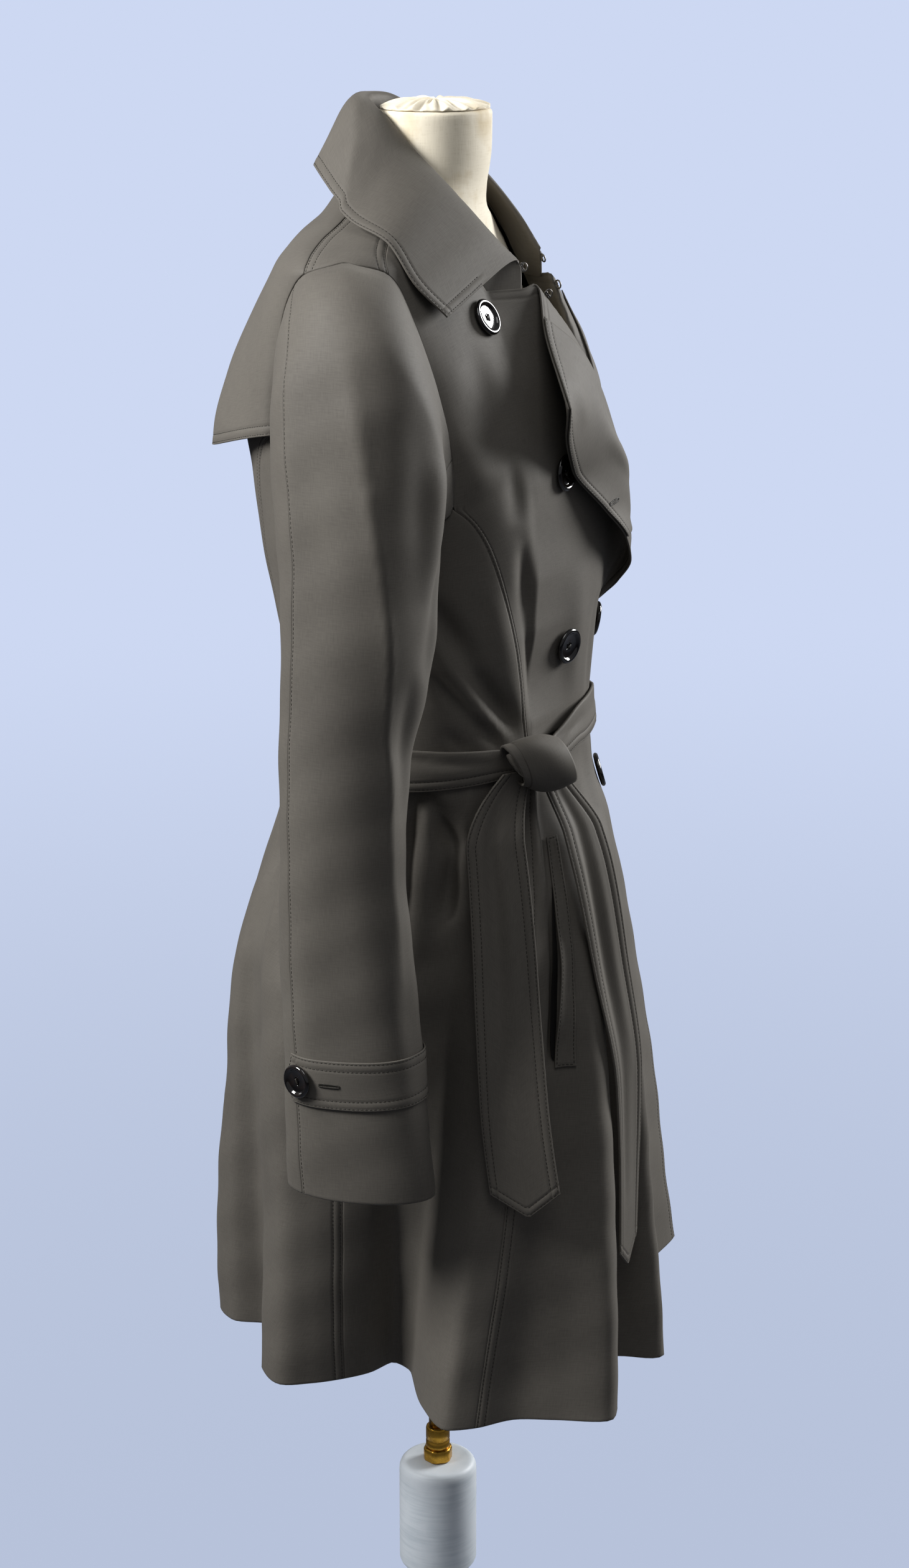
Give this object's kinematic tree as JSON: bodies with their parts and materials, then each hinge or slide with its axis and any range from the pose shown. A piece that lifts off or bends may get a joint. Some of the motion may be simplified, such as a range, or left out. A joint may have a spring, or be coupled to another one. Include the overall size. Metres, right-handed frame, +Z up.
{
  "type": "trench coat on dress form",
  "caption": "Belted double-breasted trench coat with turned-down collar, storm cape and flared skirt, resting on a limbless dress form and its post stand.",
  "frame": {"origin": "on the floor, under the middle of the stand's base", "axes": "+Z up, the coat's front faces -Y, the wearer's left is +X"},
  "size_m": [0.5242, 0.3883, 1.46],
  "materials": {
    "softshell_cloth": "smooth olive-grey softshell with a soft sheen",
    "glossy_button": "polished near-black",
    "dark_wire": "dark plated wire",
    "linen_form": "cream linen stretched over a hard form",
    "brass": "polished",
    "white_paint": "satin white"
  },
  "bodies": {
    "root": {"front_right": "softshell_cloth", "front_left": "softshell_cloth", "facing_right": "softshell_cloth", "facing_left": "softshell_cloth", "side_right": "softshell_cloth", "side_left": "softshell_cloth", "back": "softshell_cloth", "yoke_right": "softshell_cloth", "yoke_left": "softshell_cloth", "cape": "softshell_cloth", "skirt_front_right": "softshell_cloth", "skirt_side_right": "softshell_cloth", "skirt_back": "softshell_cloth", "skirt_side_left": "softshell_cloth", "skirt_front_left": "softshell_cloth", "top_sleeve_right": "softshell_cloth", "top_sleeve_left": "softshell_cloth", "under_sleeve_right": "softshell_cloth", "under_sleeve_left": "softshell_cloth", "cuff_strap_right": "softshell_cloth", "cuff_strap_left": "softshell_cloth", "collar": "softshell_cloth", "belt_band": "softshell_cloth", "belt_knot": "softshell_cloth", "belt_tail_near": "softshell_cloth", "belt_tail_far": "softshell_cloth", "belt_loop_right": "softshell_cloth", "belt_loop_left": "softshell_cloth", "pocket_welt_right": "softshell_cloth", "pocket_welt_left": "softshell_cloth", "button_right_1": "glossy_button", "button_left_1": "glossy_button", "button_right_2": "glossy_button", "button_left_2": "glossy_button", "button_right_3": "glossy_button", "button_left_3": "glossy_button", "button_right_4": "glossy_button", "button_left_4": "glossy_button", "cuff_button_right": "glossy_button", "cuff_button_left": "glossy_button", "hook_1": "dark_wire", "hook_2": "dark_wire", "eye_1": "dark_wire", "eye_2": "dark_wire", "dress_form": "linen_form", "neck_cap": "linen_form", "pole": "brass", "brass_socket": "brass", "brass_nut": "brass", "stand_post": "white_paint", "stand_base": "white_paint"}
  },
  "joints": []
}
